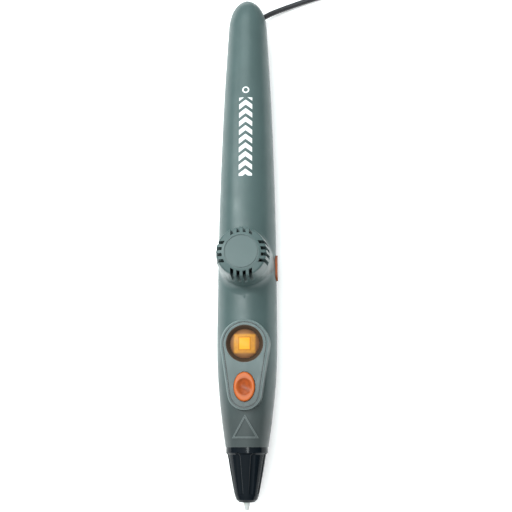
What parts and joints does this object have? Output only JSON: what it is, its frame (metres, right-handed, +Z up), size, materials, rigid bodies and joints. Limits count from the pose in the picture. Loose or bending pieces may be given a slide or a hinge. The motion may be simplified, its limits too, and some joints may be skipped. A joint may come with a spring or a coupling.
{
  "type": "3d drawing pen",
  "caption": "Corded hot craft pen: tapered two-shell barrel, vented fan turret, two amber top buttons, side button, black nose and white ceramic nozzle, with inner feed works.",
  "frame": {"origin": "middle of the pen's length and width on the surface that its flat belly rests on", "axes": "+Y along the pen from nozzle to tail, +X to the right seen from above with the nozzle nearest, +Z up through the buttons and turret"},
  "size_m": [0.0578, 0.2357, 0.0336],
  "materials": {
    "shell_slate": "satin slate green moulded plastic",
    "nose_black": "satin black heat-resistant plastic",
    "ceramic_white": "white-grey ceramic",
    "lens_amber": "translucent amber",
    "button_orange": "translucent orange",
    "bezel_dark": "dark smoked ring",
    "led_yellow": "lit yellow",
    "switch_black": "black",
    "board_green": "green solder mask",
    "plug_white": "white insulator",
    "frame_grey": "dark grey nylon",
    "fan_black": "black",
    "brass": "turned brass",
    "steel": "machined steel",
    "steel_plated": "plated steel",
    "foil": "thin rolled aluminium",
    "ptfe": "white slippery tube",
    "cord_grey": "dark grey soft jacket"
  },
  "bodies": {
    "root": {"upper_shell": "shell_slate", "lower_shell": "shell_slate", "shell_screws": "steel", "fan_cap": "shell_slate", "fan_ring": "fan_black", "fan_motor": "steel_plated", "nose_cone": "nose_black", "nozzle_tip": "ceramic_white", "nozzle_nut": "brass", "heater_tube": "brass", "heater_sleeve": "ceramic_white", "thermistor": "switch_black", "heat_shield": "foil", "heat_collar": "frame_grey", "feed_button_bezel": "bezel_dark", "feed_switch": "switch_black", "indicator_led": "led_yellow", "mode_switch": "switch_black", "main_board": "board_green", "side_board": "board_green", "side_switch": "switch_black", "feed_motor": "steel_plated", "feed_frame": "frame_grey", "idler_pin": "steel", "guide_tube_front": "ptfe", "guide_tube_rear": "ptfe", "filament_inlet": "brass", "tail_plug": "nose_black", "cord_boot": "cord_grey", "cord_lead": "cord_grey", "cord_coil": "cord_grey", "cord_end": "cord_grey", "usb_plug_grip": "cord_grey", "usb_plug_shell": "steel_plated", "usb_plug_insert": "plug_white"},
    "feed_button": {"feed_button": "lens_amber"},
    "mode_button": {"mode_button": "button_orange"},
    "side_button": {"side_button": "button_orange"},
    "fan_rotor": {"fan_rotor": "fan_black"},
    "motor_pinion": {"motor_pinion": "brass"},
    "feed_screw": {"feed_screw": "steel"},
    "idler_arm": {"idler_arm": "steel", "idler_spring": "steel"},
    "idler_roller": {"idler_roller": "brass"}
  },
  "joints": [
    {"name": "feed_button_press", "type": "slide", "parent": "root", "child": "feed_button", "axis": [0, 0, -1], "range_m": [0, 0.0006], "stiffness_N_per_m": 1500},
    {"name": "mode_button_press", "type": "slide", "parent": "root", "child": "mode_button", "axis": [0, 0, -1], "range_m": [0, 0.0006], "stiffness_N_per_m": 1500},
    {"name": "side_button_press", "type": "slide", "parent": "root", "child": "side_button", "axis": [-1, 0, 0], "range_m": [0, 0.0005], "stiffness_N_per_m": 1500},
    {"name": "fan_spin", "type": "hinge", "parent": "root", "child": "fan_rotor", "pos_m": [0, -0.0083, 0.0222], "axis": [0, 0, 1], "continuous": true},
    {"name": "pinion_spin", "type": "hinge", "parent": "root", "child": "motor_pinion", "pos_m": [0.004, 0.0136, 0.01106], "axis": [0, 1, 0], "continuous": true},
    {"name": "feed_screw_spin", "type": "hinge", "parent": "root", "child": "feed_screw", "pos_m": [0, 0.0055, 0.01235], "axis": [0, 1, 0], "continuous": true},
    {"name": "idler_arm_swing", "type": "hinge", "parent": "root", "child": "idler_arm", "pos_m": [0, 0.0008, 0.0044], "axis": [1, 0, 0], "range_deg": [-5, 3], "stiffness_Nm_per_rad": 0.02},
    {"name": "idler_roller_spin", "type": "hinge", "parent": "idler_arm", "child": "idler_roller", "pos_m": [0, 0.0055, 0.00643], "axis": [1, 0, 0], "continuous": true}
  ],
  "couplings": [
    {"joint": "pinion_spin", "follows": "feed_screw_spin", "ratio": -0.75}
  ]
}
